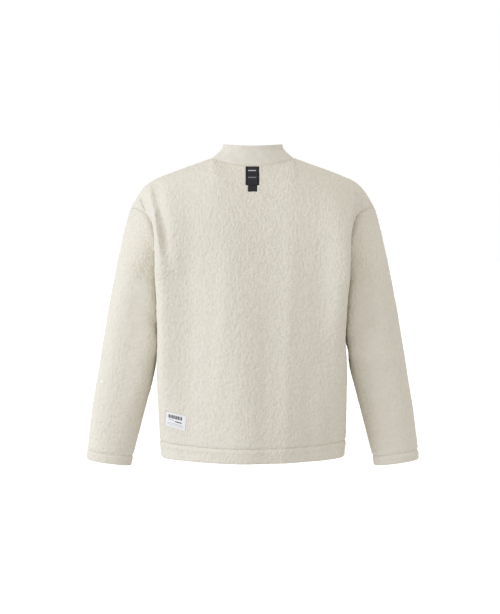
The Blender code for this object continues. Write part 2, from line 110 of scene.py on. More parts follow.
SHOULDER = table(
    "out level",
    (0.0943, 0.0),
    (0.1318, -0.0136),
    (0.1705, -0.0273),
    (0.2068, -0.0409),
    (0.2341, -0.0545),
    (0.25, -0.0682),
    (0.2605, -0.0818),
    (0.2685, -0.0955),
    (0.2765, -0.1115),
)

SLEEVE = table(
    "outer_x outer_z inner_x inner_z half_depth forward outer_square inner_square",
    (0.2765, -0.1115, 0.209, -0.275, 0.06, 0.0, 2.0, 2.0),
    (0.2885, -0.156, 0.211, -0.279, 0.065, -0.002, 2.05, 2.8),
    (0.2985, -0.2, 0.212, -0.285, 0.068, -0.005, 2.1, 4.0),
    (0.308, -0.245, 0.211, -0.297, 0.069, -0.008, 2.2, 5.0),
    (0.3235, -0.322, 0.2085, -0.36, 0.0655, -0.008, 2.4, 5.0),
    (0.3372, -0.401, 0.212, -0.43, 0.06, -0.003, 2.5, 4.4),
    (0.3508, -0.481, 0.2285, -0.503, 0.053, 0.002, 2.5, 3.2),
    (0.364, -0.556, 0.247, -0.575, 0.046, 0.006, 2.3, 2.4),
    (0.3735, -0.625, 0.264, -0.64, 0.0405, 0.011, 2.1, 2.1),
    (0.3782, -0.6635, 0.274, -0.6775, 0.0375, 0.013, 2.1, 2.1),
    (0.3802, -0.6855, 0.2775, -0.7, 0.036, 0.014, 2.1, 2.1),
)
SLEEVE_STATIONS = len(SLEEVE["outer_x"])
CUFF_SEAM = SLEEVE_STATIONS - 2
ARMHOLE_FADE = 3.0

# %% [markdown]
# ## How finely each piece is drawn
#
# The curls of the pile are about 5 mm across, so the outer side needs a point every 2 to 3 mm.
# Columns and rows are counted per seam, because pieces that meet share the points of their seam.

# %% Points along each seam
NECK_COLUMNS = 63
SHOULDER_COLUMNS = 99
BODY_ROWS = 132
LOWER_ARMHOLE_ROWS = 32
UPPER_ARMHOLE_ROWS = 74
SLEEVE_ROWS = 200
HEM_ROWS = 16
CUFF_ROWS = 10
CALM_COLUMNS = 9  # over these the folds die away, beside the armholes and the neck
CALM_ROWS = 12

# %% Curves


def smooth(knots, values, at):
    """A curve through the values: cubic between two knots, with its neighbours' slope at each."""
    at = np.clip(at, knots[0], knots[-1])
    slope = np.gradient(values, knots)
    i = np.clip(np.searchsorted(knots, at) - 1, 0, len(knots) - 2)
    step = knots[i + 1] - knots[i]
    t = (at - knots[i]) / step
    start = values[i] * (1 + 2 * t) + slope[i] * step * t
    end = values[i + 1] * (3 - 2 * t) + slope[i + 1] * step * (t - 1)
    return start * (1 - t) ** 2 + end * t**2


def body_at(column, level):
    return smooth(BODY["level"], BODY[column], level)


def walked(points, axis=0):
    """The distance to each point from the first one, along a line or one way over a grid."""
    steps = np.linalg.norm(np.diff(points, axis=axis), axis=-1)
    walk = np.cumsum(steps, axis=axis)
    return np.concatenate([np.zeros_like(np.take(walk, [0], axis)), walk], axis=axis)


def resampled(points, fraction):
    """Points at fractions of the length of a line of points."""
    along = walked(points)
    at = fraction * along[-1]
    return np.stack([np.interp(at, along, points[:, k]) for k in range(3)], axis=1)


def shares(count):
    """Even steps from 0 to 1."""
    return np.linspace(0, 1, count + 1)


def bump(distance, half_width):
    """A soft hump of height 1 that has died away at twice its half width."""
    return np.exp(-((distance / half_width) ** 2))


def unit(vectors):
    return vectors / np.linalg.norm(vectors, axis=-1, keepdims=True)


def armhole(angle):
    """The armhole seam of the left side: 0 at the shoulder tip, a quarter turn at the back."""
    rise = np.where(np.cos(angle) > 0, SHOULDER_TIP[1] - YOKE, YOKE - UNDERARM)
    swing = 1 - np.abs(np.sin(angle))
    upper = (SHOULDER_TIP[0] - ARMHOLE_X) * swing**ARMHOLE_SWEEP
    lower = (UNDERARM_X - ARMHOLE_X) * swing
    x = ARMHOLE_X + np.where(np.cos(angle) > 0, upper, lower)
    y = ARMHOLE_HALF_DEPTH * np.sin(angle)
    return np.stack([x, y, YOKE + rise * np.cos(angle)], axis=-1)


def shoulder_line(fraction):
    """The shoulder seam, from the neck (0) to the shoulder tip (1)."""
    out = np.linspace(SHOULDER["out"][0], SHOULDER["out"][-1], LINE_POINTS)
    level = smooth(SHOULDER["out"], SHOULDER["level"], out)
    return resampled(np.stack([out, np.zeros_like(out), level], axis=1), fraction)


def neckline(face, quarter):
    """The neck seam of the left side, from the centre (0) to the shoulder seam (1)."""
    turn = quarter * math.pi / 2
    x = NECK_HALF_WIDTH * np.sin(turn)
    y = face * NECK_DEPTH[face] * np.cos(turn)
    return np.stack([x, y, -NECK_DROP[face] * np.cos(turn) ** NECK_CURVE[face]], axis=1)


# %% [markdown]
# ## Front and back
#
# Each panel is a grid. Below the yoke a row is part of a rounded ring (a superellipse), tucked in
# beside the sleeve. Above the yoke the columns arch over the shoulder to the neck and shoulder
# seams.

# %% Rows round the body
ACROSS = shares(NECK_COLUMNS + SHOULDER_COLUMNS)  # a half panel's columns, centre to side


def level_row(face, side, side_point, centre_level):
    """Half a row of a panel, round the body from the centre to the side.

    The right side of the back has a sharper edge, which hangs over the sleeve.
    """
    side_x, side_y, side_z = side_point
    width = body_at("fold_half_width", side_z)
    depth = body_at("back_depth" if face == BACK else "front_depth", centre_level)
    power = 2 / body_at("right_back" if (face, side) == (BACK, -1) else "squareness", side_z)
    start = math.asin((side_y / depth) ** (1 / power))
    turn = np.linspace(start, math.pi / 2, LINE_POINTS)
    x = width * np.cos(turn) ** power
    y = depth * np.sin(turn) ** power
    x[-1] = 0.0
    tuck = np.exp((side_y / TUCK_REACH) ** 4 - (y / TUCK_REACH) ** 4)
    x = x - (x[0] - side_x) * tuck
    level = side_z + (centre_level - side_z) * np.sin(turn - start) ** 2
    return resampled(np.stack([x, face * y, level], axis=1), 1 - ACROSS)


def ring_row(face, side, level, centre_level):
    """A row of the body below the armhole, or of the hem band."""
    side_point = (body_at("side_half_width", level), 0.0, level)
    return level_row(face, side, side_point, centre_level)


def half_panel(face, side):
    """Rows of points from the hem seam up, each from the centre to one side, drawn on the left."""
    rows = []
    for share in shares(BODY_ROWS):
        level = HEM_SEAM + (UNDERARM - HEM_SEAM) * share
        centre = level + CENTRE_LIFT * share**2 - HEM_DIP[face] * (1 - share) ** 2
        rows.append(ring_row(face, side, level, centre))
    for share in shares(LOWER_ARMHOLE_ROWS)[1:]:
        seam_point = armhole(math.pi * (1 - share / 2))
        centre = UNDERARM + (YOKE - UNDERARM) * share + CENTRE_LIFT
        rows.append(level_row(face, side, seam_point, centre))
    base = rows[-1]
    neck = neckline(face, shares(NECK_COLUMNS))
    seam = shoulder_line(shares(SHOULDER_COLUMNS))
    top = np.concatenate([neck, seam[1:]])
    neck_share = np.clip(ACROSS / ACROSS[NECK_COLUMNS], 0, 1)
    slope = NECK_SLOPE[face]
    end = slope + (math.pi / 2 - slope) * np.sin(neck_share * math.pi / 2) ** 2
    sweep = 1 + (ARMHOLE_SWEEP - 1) * ACROSS**2
    for share in shares(UPPER_ARMHOLE_ROWS)[1:]:
        turn = share * end
        rise = np.sin(turn) / np.sin(end)
        come_in = (1 - np.cos(turn)) / (1 - np.cos(end))
        way = np.stack([come_in**sweep, come_in, rise], axis=1)
        rows.append(base + (top - base) * way)
    return np.array(rows)


def half_hem(face, side):
    """Rows of the hem band from its edge up to its seam, drawn like those of a panel."""
    rows = []
    for share in shares(HEM_ROWS):
        level = HEM_EDGE + (HEM_SEAM - HEM_EDGE) * share
        dip = EDGE_DIP + (HEM_DIP[face] - EDGE_DIP) * share
        rows.append(ring_row(face, side, level, level - dip))
    return np.array(rows)


def whole_rows(left, right):
    """Rows of two halves, both drawn on the left: the right half is turned over and put first."""
    return np.concatenate([right[:, :0:-1] * (-1, 1, 1), left], axis=1)


def all_round(back, front):
    """Closed rows from the back's and the front's, which share their first and last points."""
    return np.concatenate([back[:, :-1], front[:, :0:-1]], axis=1)


# %% [markdown]
# ## Folds, creases and the sunken armhole
#
# Thick fleece doesn't crumple: it hangs in a few broad, soft folds that run down from the
# shoulders, and only short creases gather at the armholes. Each one is a straight line on the
# cloth with a hump across it and a fade along it, so that it can be placed one by one; a
# simulation would settle elsewhere after every change. The body also hangs a little over each
# sleeve, so the armhole seam is drawn inward there, together with the cloth on both sides of it.

# %% The tables of folds
FOLD_COLUMNS = "face top_x top_z bottom_x bottom_z half_width height"
BODY_FOLDS = listed(
    FOLD_COLUMNS,
    (BACK, 0.206, 0.02, 0.205, -0.645, 0.018, 0.01),
    (BACK, 0.149, 0.02, 0.148, -0.772, 0.036, -0.01),
    (BACK, 0.06, 0.02, 0.005, -0.9, 0.048, 0.01),
    (BACK, 0.055, -0.18, 0.076, -0.629, 0.018, 0.0023),
    (BACK, -0.034, -0.226, -0.014, -0.9, 0.014, -0.0013),
    (BACK, -0.086, -0.062, -0.06, -0.9, 0.018, 0.0034),
    (BACK, -0.124, -0.389, -0.128, -0.9, 0.022, -0.0053),
    (BACK, -0.142, -0.043, -0.198, -0.88, 0.043, -0.0105),
    (BACK, -0.2, -0.104, -0.193, -0.43, 0.024, 0.0085),
    (BACK, 0.01, -0.15, 0.012, -1.1, 0.11, 0.0185),
    (FRONT, -0.09, -0.17, -0.118, -0.62, 0.03, 0.006),
    (FRONT, 0.012, -0.21, 0.026, -0.79, 0.03, -0.007),
    (FRONT, 0.074, -0.16, 0.092, -0.74, 0.028, 0.0055),
    (FRONT, 0.158, -0.14, 0.14, -0.56, 0.024, -0.0065),
    (FRONT, -0.176, -0.12, -0.16, -0.48, 0.022, -0.005),
)
FOLD_FREE_DEPTH = 0.085  # folds have their full height where the body is as deep as this

# The short creases from the shoulder to the armhole, and the lip that hangs over the sleeve.
SHOULDER_CREASES = listed(
    FOLD_COLUMNS,
    (BACK, 0.2395, -0.035, 0.206, -0.21, 0.0092, 0.015),
    (BACK, 0.217, -0.035, 0.186, -0.25, 0.0125, -0.011),
    (BACK, 0.26, -0.07, 0.2235, -0.155, 0.005, -0.0095),
    (BACK, 0.244, -0.1, 0.231, -0.24, 0.01, 0.005),
    (BACK, 0.219, -0.12, 0.214, -0.48, 0.006, 0.003),
    (BACK, -0.229, -0.06, -0.215, -0.18, 0.005, 0.006),
    (BACK, -0.248, -0.075, -0.223, -0.185, 0.008, -0.011),
    (BACK, -0.223, -0.06, -0.215, -0.44, 0.0125, 0.011),
    (FRONT, 0.23, -0.06, 0.214, -0.17, 0.0055, 0.0045),
    (FRONT, 0.246, -0.075, 0.23, -0.18, 0.009, -0.0055),
    (FRONT, -0.24, -0.05, -0.208, -0.175, 0.006, 0.0055),
    (FRONT, -0.226, -0.05, -0.196, -0.185, 0.0085, -0.0045),
)
CREASE_FREE_DEPTH = 0.022
CREASE_COLUMNS = 3

# The armhole seam lies deeper where the body hangs over the sleeve: by side, in metres.
SINK_DEPTH = {1: 0.01, -1: 0.024}
SINK_IN = 0.45
SINK_MIDDLE = 88.0  # degrees round the armhole from the shoulder tip
SINK_SPREAD = 55.0
SINK_COLUMNS = 3.0  # how far the sink reaches into a panel and into a sleeve
SINK_ROWS = {1: 5.0, -1: 6.0}

# %% Folding the panels and the hem


def outward(points):
    """The level direction away from the body's middle, as on a rounded ring."""
    x, y, z = np.moveaxis(points, -1, 0)
    width = body_at("fold_half_width", z)
    return unit(np.stack([x / width**2, y / BODY_DEPTH**2, np.zeros_like(x)], axis=-1))


def folded(points, out, folds, free_depth, strength=1.0):
    """Body points, moved out at the ridges and in at the troughs of a table of folds."""
    x, y, z = np.moveaxis(points, -1, 0)
    height = np.zeros_like(x)
    for fold in folds:
        share = (z - fold["bottom_z"]) / (fold["top_z"] - fold["bottom_z"])
        line = fold["bottom_x"] + (fold["top_x"] - fold["bottom_x"]) * share
        fade = np.sin(np.clip(share, 0, 1) * math.pi)
        on_face = np.clip(fold["face"] * y / free_depth, 0, 1) ** 2
        height += fold["height"] * bump(x - line, fold["half_width"]) * fade * on_face
    return points + out * (height * strength)[..., None]


def armhole_angles():
    """The angle round the armhole at each row of a panel; below it the angle is half a turn."""
    lower = np.linspace(math.pi, math.pi / 2, LOWER_ARMHOLE_ROWS + 1)
    upper = np.linspace(math.pi / 2, 0, UPPER_ARMHOLE_ROWS + 1)
    return np.concatenate([np.full(BODY_ROWS, math.pi), lower, upper[1:]])


def armhole_sink(angle, side):
    """How far the left armhole's seam lies inward, where the body hangs over the sleeve."""
    from_middle = np.minimum(np.degrees(angle), 360 - np.degrees(angle)) - SINK_MIDDLE
    depth = SINK_DEPTH[side] * np.exp(-((from_middle / SINK_SPREAD) ** 4))
    return depth[:, None] * np.stack([-SINK_IN + 0 * angle, -np.sin(angle), 0 * angle], axis=1)


def panel_points(face):
    """A whole panel. Its folds die away at the armholes and the neck, whose points are shared."""
    points = whole_rows(half_panel(face, 1), half_panel(face, -1))
    columns = np.arange(points.shape[1])
    from_edge = np.minimum(columns, columns[::-1])
    from_top = np.clip(np.arange(len(points))[::-1] / CALM_ROWS, 0, 1)[:, None]
    for folds, out, free_depth, calm_columns in (
        (BODY_FOLDS, outward(points), FOLD_FREE_DEPTH, CALM_COLUMNS),
        (SHOULDER_CREASES, np.array([0.0, face, 0.0]), CREASE_FREE_DEPTH, CREASE_COLUMNS),
    ):
        strength = np.ones(points.shape[:2])
        strength[BODY_ROWS:] = np.clip(from_edge / calm_columns, 0, 1)
        points = folded(points, out, folds, free_depth, strength * from_top)
    for side, from_side in ((1, columns[::-1]), (-1, columns)):
        sink = armhole_sink(armhole_angles(), side) * (side, face, 1)
        points = points + bump(from_side, SINK_COLUMNS)[None, :, None] * sink[:, None]
    return points


def hem_points():
    """Rows of the hem band, all round, from the right side."""
    faces = (whole_rows(half_hem(face, 1), half_hem(face, -1)) for face in (BACK, FRONT))
    points = all_round(*faces)
    return folded(points, outward(points), BODY_FOLDS, FOLD_FREE_DEPTH)


# %% [markdown]
# ## Sleeves and cuffs
#
# A sleeve is a tube of rings. Its first ring is the armhole itself, and the bend of that seam
# fades within three stations into ellipses that are squarer towards the body. Short slanting
# folds gather at the elbow, and the left sleeve is a little hollow where it hangs at the body.

# %% Sleeve surfaces
SLEEVE_FOLDS = listed(
    "side angle spread station slant half_length height",
    (1, 150, 60, 4.35, 0.9, 0.26, -0.0045),
    (1, 215, 55, 5.0, -0.7, 0.3, -0.005),
    (1, 95, 55, 5.6, 0.8, 0.34, 0.0035),
    (1, 250, 50, 5.75, -0.6, 0.3, 0.0035),
    (1, 165, 50, 3.75, 0.0, 0.9, -0.0038),
    (-1, 120, 60, 4.6, 0.7, 0.3, -0.004),
    (-1, 95, 50, 5.35, -0.6, 0.34, 0.0045),
    (-1, 220, 55, 4.85, -0.8, 0.28, -0.005),
    (-1, 255, 50, 5.55, -0.5, 0.3, 0.0035),
)


def sleeve_angles():
    """Angles round the sleeve, so that its first ring has the armhole's points."""
    upper = np.linspace(0, math.pi / 2, UPPER_ARMHOLE_ROWS + 1)
    lower = np.linspace(math.pi / 2, math.pi, LOWER_ARMHOLE_ROWS + 1)
    back = np.concatenate([upper, lower[1:]])
    return np.concatenate([back, 2 * math.pi - back[-2:0:-1]])


def sleeve_ring(station, angle):
    """A ring of the left sleeve: two half ellipses, squarer on the side towards the body."""
    stations = np.arange(SLEEVE_STATIONS, dtype=float)
    at = {name: smooth(stations, column, station) for name, column in SLEEVE.items()}
    outer = np.array([at["outer_x"], 0, at["outer_z"]])
    inner = np.array([at["inner_x"], 0, at["inner_z"]])
    middle, half = (outer + inner) / 2, (outer - inner) / 2
    power = 2 / np.where(np.cos(angle) > 0, at["outer_square"], at["inner_square"])
    across = np.sign(np.cos(angle)) * np.abs(np.cos(angle)) ** power
    deep = np.sign(np.sin(angle)) * np.abs(np.sin(angle)) ** power
    ring = middle + np.outer(across, half)
    ring[:, 1] += at["half_depth"] * deep - at["forward"]
    return ring, middle - (0, at["forward"], 0)


def sleeve_fold_height(side, station, angle):
    """How far the folds lift or sink one ring: a hump along the sleeve times one round it."""
    height = np.zeros_like(angle)
    for fold in SLEEVE_FOLDS:
        if fold["side"] != side:
            continue
        round_from = np.degrees(angle) - fold["angle"]
        middle = fold["station"] + fold["slant"] * round_from / 100
        across = bump(station - middle, fold["half_length"])
        height += fold["height"] * across * bump(round_from, fold["spread"])
    return height


def sleeve_rows(side, first, last, count):
    """Rings of a sleeve between two stations of its table, on its own side of the body."""
    angle = sleeve_angles()
    bend = armhole(angle) - sleeve_ring(0.0, angle)[0]
    rows = []
    sink = armhole_sink(angle, side) if first == 0 else 0.0
    for row, station in enumerate(np.linspace(first, last, count + 1)):
        ring, middle = sleeve_ring(station, angle)
        fade = np.clip(1 - station / ARMHOLE_FADE, 0, 1)
        ring = ring + bend * fade**2 * (3 - 2 * fade)
        ring = ring + unit(ring - middle) * sleeve_fold_height(side, station, angle)[:, None]
        rows.append(ring + sink * bump(row, SINK_ROWS[side]))
    return np.array(rows) * (side, 1, 1)


# %% [markdown]
# ## The pile
#
# Sherpa is knitted with long loops that are cut, brushed and tumbled until they curl into small
# nubs. Single hairs would be far too many, so the nubs are a relief: rounded heads at scattered
# places, with creases where they meet that the relief shades and the colour is painted darker in
# as shade. They come from a hashed grid in space, so they are the same on every run and never
# stretch on the cloth.

# %% Scattered heads
HASH_STEPS = (374761393, 668265263, 1274126177)
HASH_SALT = 2654435761
HASH_MASK = 0xFFFFFFFF
HEAD_RADIUS = (0.62, 0.3)  # the smallest, and how much more the largest has, in cells
CURL_SALT = 11
TUFT_SALTS = (23, 31)
RIPPLE_SALT = 47


def scrambled(cells, salt):
    """A number from 0 to 1 for each whole-numbered cell: products, shifts and a mask."""
    mixed = (cells * HASH_STEPS).sum(axis=-1) + salt * HASH_SALT
    mixed = mixed & HASH_MASK
    mixed = ((mixed ^ (mixed >> 13)) * HASH_STEPS[2]) & HASH_MASK
    mixed = mixed ^ (mixed >> 16)
    return mixed / HASH_MASK


def cell_steps(*along):
    """All steps from cell to cell that have one of these numbers along each axis."""
    return np.stack(np.meshgrid(*[along] * 3), axis=-1).reshape(-1, 3)


def heads(points, size, salt):
    """Rounded heads: at each point the largest of 1 - (distance / radius)^2, never below 0."""
    scaled = points / size
    cells = np.floor(scaled).astype(np.int64)
    highest = np.zeros(points.shape[:-1])
    for step in cell_steps(-1, 0, 1):
        cell = cells + step
        place = np.stack([scrambled(cell, salt + k) for k in range(3)], axis=-1)
        radius = HEAD_RADIUS[0] + HEAD_RADIUS[1] * scrambled(cell, salt + 3)
        away = ((cell + place - scaled) ** 2).sum(axis=-1)
        highest = np.maximum(highest, 1 - away / radius**2)
    return highest


def waves(points, size, salt):
    """Soft noise from -1 to 1: random values at the corners of cells, eased between them."""
    scaled = points / size
    cells = np.floor(scaled).astype(np.int64)
    t = scaled - cells
    t = t * t * (3 - 2 * t)
    total = np.zeros(points.shape[:-1])
    for corner in cell_steps(0, 1):
        weight = np.where(corner == 1, t, 1 - t).prod(axis=-1)
        total += weight * scrambled(cells + corner, salt)
    return 2 * total - 1


# %% [markdown]
# ## From a surface to a piece of cloth
#
# A piece is a grid of outer points, a coarser grid for the smooth knitted back of the cloth, and
# rims between them. Where two pieces meet, both get the mean of their normals, so their edges
# move together. Beside a seam the cloth dips, then swells a little over the seam allowance.

# %% Sizes of the cloth
FLEECE_WALL = 0.004
COLLAR_WALL = 0.0036
CURL_SIZE = 0.0042
CURL_STRETCH = (1.0, 1.0, 0.88)  # below 1, a curl is taller than it is wide
CURL_HEIGHT = 0.0015
CURL_MEAN = 0.55
SLEEVE_CALM = 0.9  # the sleeves' pile lies a little flatter
TUFT_SIZE = 0.021
TUFT_HEIGHT = 0.0004
SEAM_REACH = 0.003
SEAM_BLEND = 0.01
LIP_PLACE = 0.008
LIP_REACH = 0.0042
SEAM_GRID = 1e5  # points closer than a hundredth of a millimetre are one point of a seam
TINY = 1e-12


def grid_normals(points, closed):
    """Unit normals of a grid of points, from the slopes along its rows and its columns."""
    if closed:
        along = np.roll(points, -1, axis=1) - np.roll(points, 1, axis=1)
    else:
        along = np.gradient(points, axis=1)
    return unit(np.cross(along, np.gradient(points, axis=0)))


def cloth(name, family, points, closed, middle):
    """A piece while it is being made: its points, and normals that lead away from its middle."""
    normals = grid_normals(points, closed)
    flipped = (normals * (points - middle)).sum() < 0
    piece = {"name": name, "family": family, "points": points, "closed": closed}
    return piece | {"flipped": flipped, "normals": -normals if flipped else normals}


def edge_mask(piece):
    """True for the points of a piece that lie on its edge."""
    mask = np.zeros(piece["points"].shape[:2], bool)
    mask[[0, -1]] = True
    if not piece["closed"]:
        mask[:, [0, -1]] = True
    return mask


def share_seams(pieces):
    """Gives points that coincide at a seam one normal: the mean over families, then of them."""
    masks = [edge_mask(piece) for piece in pieces]
    names = sorted({piece["family"] for piece in pieces})
    edges = [
        (p["points"][m], p["normals"][m], np.full(m.sum(), names.index(p["family"])))
        for p, m in zip(pieces, masks, strict=True)
    ]
    places, normals, family = (np.concatenate(part) for part in zip(*edges, strict=True))
    whole = np.round(places * SEAM_GRID).astype(np.int64)
    groups = np.unique(whole, axis=0, return_inverse=True)[1].reshape(-1)
    by_family = np.zeros((groups.max() + 1, len(names), 3))
    np.add.at(by_family, (groups, family), normals)
    by_family /= np.maximum(np.linalg.norm(by_family, axis=-1, keepdims=True), TINY)
    shared = unit(by_family.sum(axis=1))[groups]
    first = 0
    for piece, mask in zip(pieces, masks, strict=True):
        piece["edge_normals"] = piece["normals"].copy()
        piece["edge_normals"][mask] = shared[first : first + mask.sum()]
        first += mask.sum()


def from_edges(piece):
    """Distances over the cloth, in metres, from each of a piece's edges."""
    up = walked(piece["points"])
    found = {"bottom": up, "top": up[-1] - up}
    if not piece["closed"]:
        over = walked(piece["points"], 1)
        found |= {"right": over, "left": over[:, -1:] - over}
    return found


def seam_normals(piece, away):
    """Normals that turn into the seam's shared ones within a few millimetres of an edge."""
    blended = piece["normals"].copy()
    edge = piece["edge_normals"]
    near = {"bottom": edge[:1], "top": edge[-1:], "right": edge[:, :1], "left": edge[:, -1:]}
    for side, distance in away.items():
        weight = bump(distance, SEAM_BLEND)[..., None]
        blended = blended * (1 - weight) + near[side] * weight
    mask = edge_mask(piece)
    blended[mask] = edge[mask]
    return unit(blended)


def pile(points):
    """The height of the pile in metres above its mean, and how far out each curl stands."""
    curl = heads(points * CURL_STRETCH, CURL_SIZE, CURL_SALT)
    tuft = waves(points, TUFT_SIZE, TUFT_SALTS[0])
    tuft = tuft + 0.5 * waves(points, TUFT_SIZE / 2, TUFT_SALTS[1])
    return CURL_HEIGHT * (curl - CURL_MEAN) + TUFT_HEIGHT * tuft, curl


# %% Rims, faces and meshes


def rim_faces(fine, coarse, forward):
    """Faces between an outer edge and an inner edge that has every second of its points."""
    a0, a1, a2 = fine[:-1:2], fine[1::2], fine[2::2]
    b0, b1 = coarse[:-1], coarse[1:]
    if forward:
        return np.stack([a1, a0, b0], axis=1), np.stack([a2, a1, b0, b1], axis=1)
    return np.stack([a0, a1, b0], axis=1), np.stack([a1, a2, b1, b0], axis=1)


def grid_quads(number):
    corners = (number[:-1, :-1], number[:-1, 1:], number[1:, 1:], number[1:, :-1])
    return np.stack(corners, axis=-1).reshape(-1, 4)


def add_object(name, data):
    made = bpy.data.objects.new(name, data)
    bpy.context.scene.collection.objects.link(made)
    return made


def add_mesh(name, vertices, faces, material, attributes=()):
    """A smooth-shaded mesh object at the origin, with numbers stored at its points."""
    mesh = bpy.data.meshes.new(name)
    mesh.from_pydata(vertices, [], faces)
    mesh.materials.append(material)
    mesh.shade_smooth()
    for label, values in attributes:
        layer = mesh.attributes.new(label, "FLOAT", "POINT")
        layer.data.foreach_set("value", values.astype(np.float32).ravel())
    return add_object(name, mesh)


def shell(piece, normals, above, below, material, stored):
    """A closed shell between two heights over the piece's points, along its normals.

    Its inner side has every second row and column. It rides on the frame's one body and stands
    for the frame's node of its name.
    """
    outer = piece["points"] + normals * above[..., None]
    inner = (piece["points"] + normals * below[..., None])[::2, ::2]
    rows, columns = outer.shape[:2]
    fine = np.arange(rows * columns).reshape(rows, columns)
    coarse = rows * columns + np.arange(inner[..., 0].size).reshape(inner.shape[:2])
    if piece["closed"]:
        fine = np.concatenate([fine, fine[:, :1]], axis=1)
        coarse = np.concatenate([coarse, coarse[:, :1]], axis=1)
    quads = [grid_quads(fine), grid_quads(coarse)[:, ::-1]]
    threes = []
    edges = [(fine[0], coarse[0], True), (fine[-1], coarse[-1], False)]
    if not piece["closed"]:
        edges += [(fine[:, 0], coarse[:, 0], False), (fine[:, -1], coarse[:, -1], True)]
    for outer_edge, inner_edge, forward in edges:
        three, four = rim_faces(outer_edge, inner_edge, forward)
        threes.append(three)
        quads.append(four)
    faces = [np.concatenate(quads), np.concatenate(threes)]
    if piece["flipped"]:
        faces = [group[:, ::-1] for group in faces]
    faces = faces[0].tolist() + faces[1].tolist()
    vertices = np.concatenate([outer.reshape(-1, 3), inner.reshape(-1, 3)]).tolist()
    stored = [
        (label, np.concatenate([values.ravel(), values[::2, ::2].ravel()]))
        for label, values in stored.items()
    ]
    stored.append(("inside", np.repeat([0.0, 1.0], [rows * columns, inner[..., 0].size])))
    made = add_mesh(piece["name"], vertices, faces, material, stored)
    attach(made, "root")
    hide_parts(piece["name"])
    return made


# %% [markdown]
# ## Finishes
#
# The fleece is off-white. Its colour follows the height of the pile: painted shade makes it a warm
# grey deep between its curls, lighter towards their tips. Two fine noises stand for loops too
# small to model, and a sheen lights the fuzz at grazing angles, as the tips of real pile do. The
# cloth's back is a plain, finer knit.

# %% Node helpers


def fill(owner, name, inputs):
    """Gives a node's inputs their values, which are numbers, colours or another node's output."""
    made = owner.node_tree.nodes[name]
    for key, value in inputs.items():
        socket = made.inputs[key]
        if isinstance(value, bpy.types.NodeSocket):
            owner.node_tree.links.new(value, socket)
        else:
            socket.default_value = (*value, 1.0) if socket.type == "RGBA" else value
    return made.outputs


def node(owner, kind, inputs, **settings):
    """The outputs of a new node of a material or of the world."""
    made = owner.node_tree.nodes.new("ShaderNode" + kind)
    for key, value in settings.items():
        setattr(made, key, value)
    return fill(owner, made.name, inputs)


def new_material(name):
    material = bpy.data.materials.new(name)
    material.use_nodes = True
    return material


def finish(material, colour, normal, roughness, sheen=0.0, sheen_roughness=0.5):
    """Fills the material's shader: no metal, a weak gloss and a warm sheen for the fuzz."""
    inputs = {
        "Base Color": colour,
        "Normal": normal,
        "Roughness": roughness,
        "Metallic": 0.0,
        "Specular IOR Level": 0.25,
        "Sheen Weight": sheen,
        "Sheen Roughness": sheen_roughness,
        "Sheen Tint": (1.0, 0.97, 0.92),
    }
    fill(material, "Principled BSDF", inputs)
    return material


def noise(owner, scale, detail=2.0, roughness=0.5, stretch=(1.0, 1.0, 1.0)):
    """A noise texture on object coordinates, in waves per metre, stretched along the axes."""
    place = node(owner, "TexCoord", {})["Object"]
    place = node(owner, "Mapping", {"Vector": place, "Scale": stretch})["Vector"]
    inputs = {"Vector": place, "Scale": scale, "Detail": detail, "Roughness": roughness}
    return node(owner, "TexNoise", inputs)["Fac"]


def attribute(owner, name):
    return node(owner, "Attribute", {}, attribute_name=name)["Fac"]


def calc(owner, operation, *values):
    return node(owner, "Math", dict(enumerate(values)), operation=operation)[0]


def ramp(owner, factor, *stops):
    """Colours along a number: each stop is a place from 0 to 1 and a colour."""
    made = node(owner, "ValToRGB", {"Fac": factor})["Color"]
    elements = made.node.color_ramp.elements
    elements[-1].position = stops[-1][0]
    elements[0].position = stops[0][0]
    for place, _ in stops[1:-1]:
        elements.new(place)
    for element, (_, colour) in zip(elements, stops, strict=True):
        element.color = (*colour, 1.0)
    return made


def mixed(owner, factor, first, second):
    """The first colour where the factor is 0, the second where it is 1."""
    inputs = {0: factor, 6: first, 7: second}  # 6 and 7 are the node's two colours
    return node(owner, "Mix", inputs, data_type="RGBA")[2]


def within(owner, value, low, high):
    """1 where a number lies between two others, and 0 elsewhere."""
    return calc(owner, "COMPARE", value, (low + high) / 2, (high - low) / 2)


def bars(owner, *rectangles):
    """1 inside any rectangle of a trim: across from 0 to 1, then up from 0 to 1."""
    across, up = attribute(owner, "across"), attribute(owner, "up")
    total = 0.0
    for left, right, bottom, top in rectangles:
        column, row = within(owner, across, left, right), within(owner, up, bottom, top)
        total = calc(owner, "MAXIMUM", total, calc(owner, "MULTIPLY", column, row))
    return total


def bumped(owner, height, distance, **below):
    """A normal tilted by a height, on top of another normal if one is given."""
    return node(owner, "Bump", {"Height": height, "Distance": distance, **below})["Normal"]


# %% The fleece
# The pile's colours by height: painted shade, warm grey deep between the curls, lighter at the
# tips.
FLEECE_SHADED_DEEP = (0.73, 0.688, 0.595)
FLEECE_MID = (0.755, 0.715, 0.625)
FLEECE_TIP = (0.775, 0.737, 0.65)
KNIT_BACK = (0.735, 0.7, 0.62)


